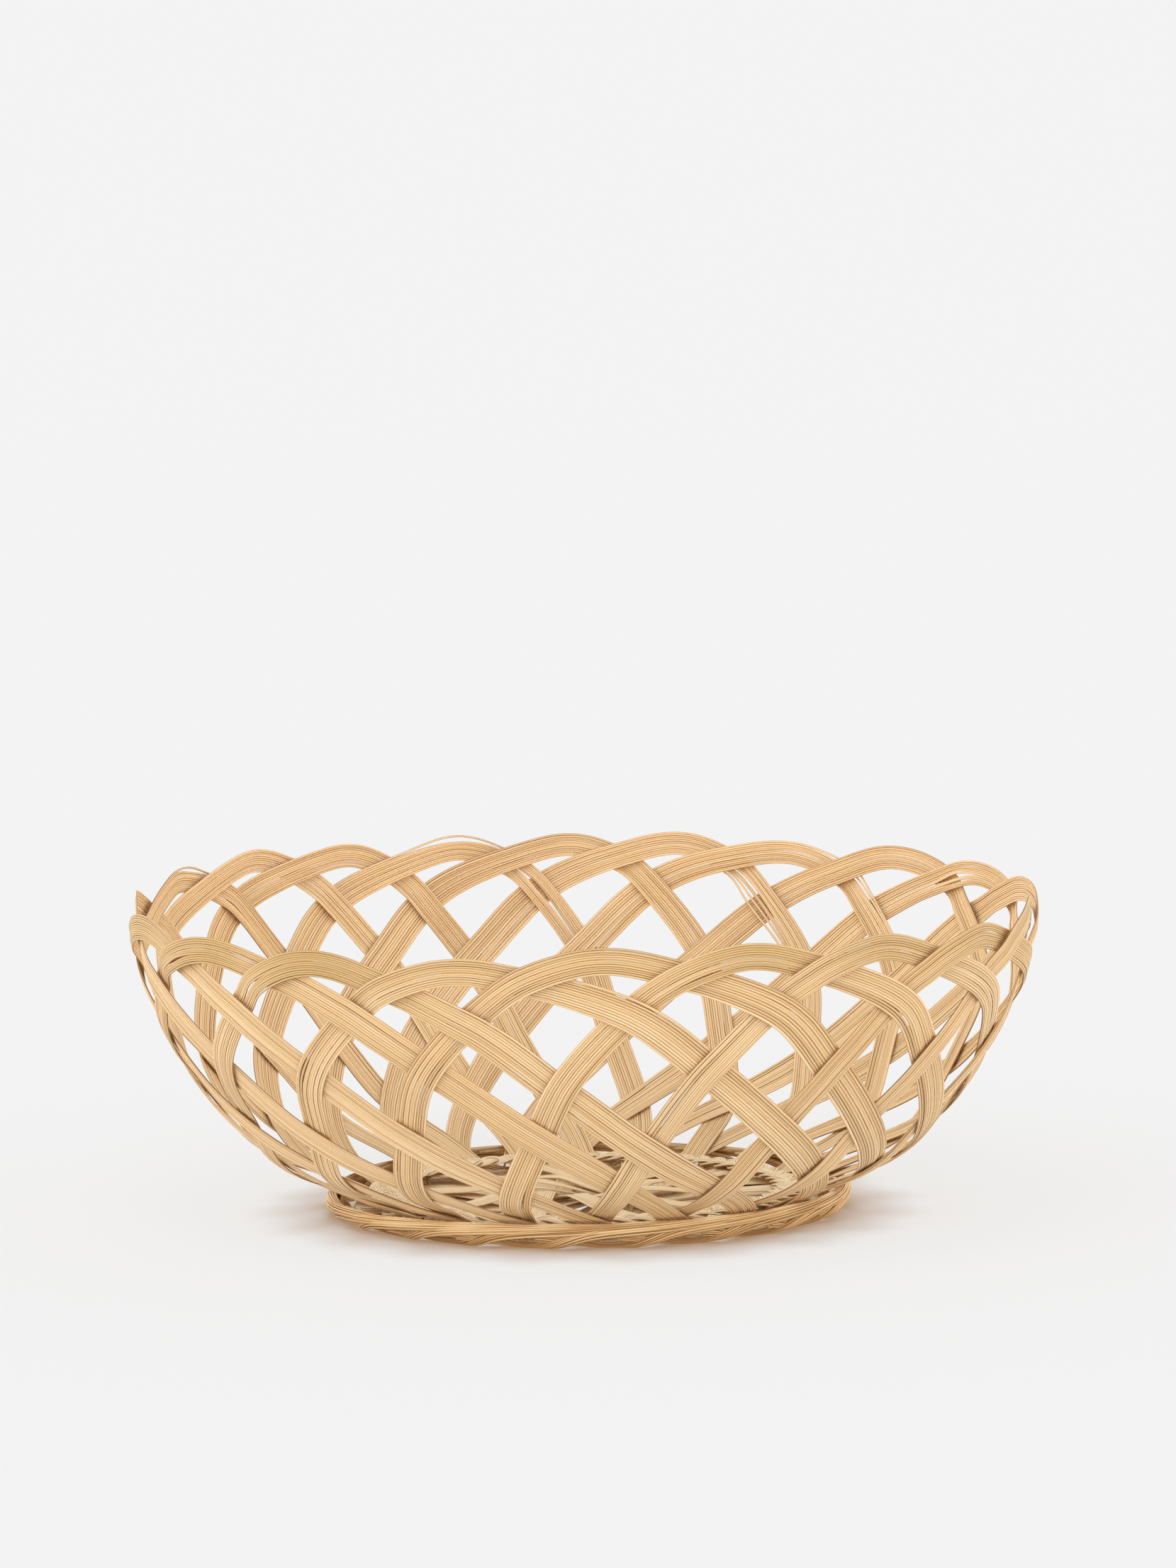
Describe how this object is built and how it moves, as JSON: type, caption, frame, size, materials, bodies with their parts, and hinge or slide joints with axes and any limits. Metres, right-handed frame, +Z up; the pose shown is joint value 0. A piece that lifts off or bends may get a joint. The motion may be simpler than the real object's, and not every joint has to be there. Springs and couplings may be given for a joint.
{
  "type": "woven basket",
  "caption": "Round bowl basket of open-woven bamboo bundles that arch over into a scalloped rim, on a rolled foot border with a star-woven base.",
  "frame": {"origin": "on the floor, under the middle of the round foot border", "axes": "+Z up out of the bowl's mouth; -Y is the front, the side with the slightly lower rim"},
  "size_m": [0.319, 0.3194, 0.1194],
  "materials": {
    "wall_bamboo": "satin natural bamboo splints",
    "border_bamboo": "satin natural bamboo splints",
    "star_bamboo": "matt natural bamboo splints",
    "mat_bamboo": "matt natural bamboo splints",
    "braid_bamboo": "matt natural bamboo splints"
  },
  "bodies": {
    "root": {"arch_01": "wall_bamboo", "arch_02": "wall_bamboo", "arch_03": "wall_bamboo", "arch_04": "wall_bamboo", "arch_05": "wall_bamboo", "arch_06": "wall_bamboo", "arch_07": "wall_bamboo", "arch_08": "wall_bamboo", "arch_09": "wall_bamboo", "arch_10": "wall_bamboo", "arch_11": "wall_bamboo", "arch_12": "wall_bamboo", "arch_13": "wall_bamboo", "arch_14": "wall_bamboo", "arch_15": "wall_bamboo", "arch_16": "wall_bamboo", "arch_17": "wall_bamboo", "arch_18": "wall_bamboo", "arch_19": "wall_bamboo", "arch_20": "wall_bamboo", "border_01": "border_bamboo", "border_02": "border_bamboo", "border_03": "border_bamboo", "border_04": "border_bamboo", "border_05": "border_bamboo", "border_06": "border_bamboo", "border_07": "border_bamboo", "border_08": "border_bamboo", "border_09": "border_bamboo", "border_10": "border_bamboo", "border_11": "border_bamboo", "border_12": "border_bamboo", "border_13": "border_bamboo", "border_14": "border_bamboo", "border_15": "border_bamboo", "border_16": "border_bamboo", "border_17": "border_bamboo", "border_18": "border_bamboo", "border_19": "border_bamboo", "border_20": "border_bamboo", "star_01": "star_bamboo", "star_02": "star_bamboo", "star_03": "star_bamboo", "star_04": "star_bamboo", "star_05": "star_bamboo", "star_06": "star_bamboo", "star_07": "star_bamboo", "star_08": "star_bamboo", "star_09": "star_bamboo", "star_10": "star_bamboo", "base_mat": "mat_bamboo", "base_braid": "braid_bamboo"}
  },
  "joints": []
}
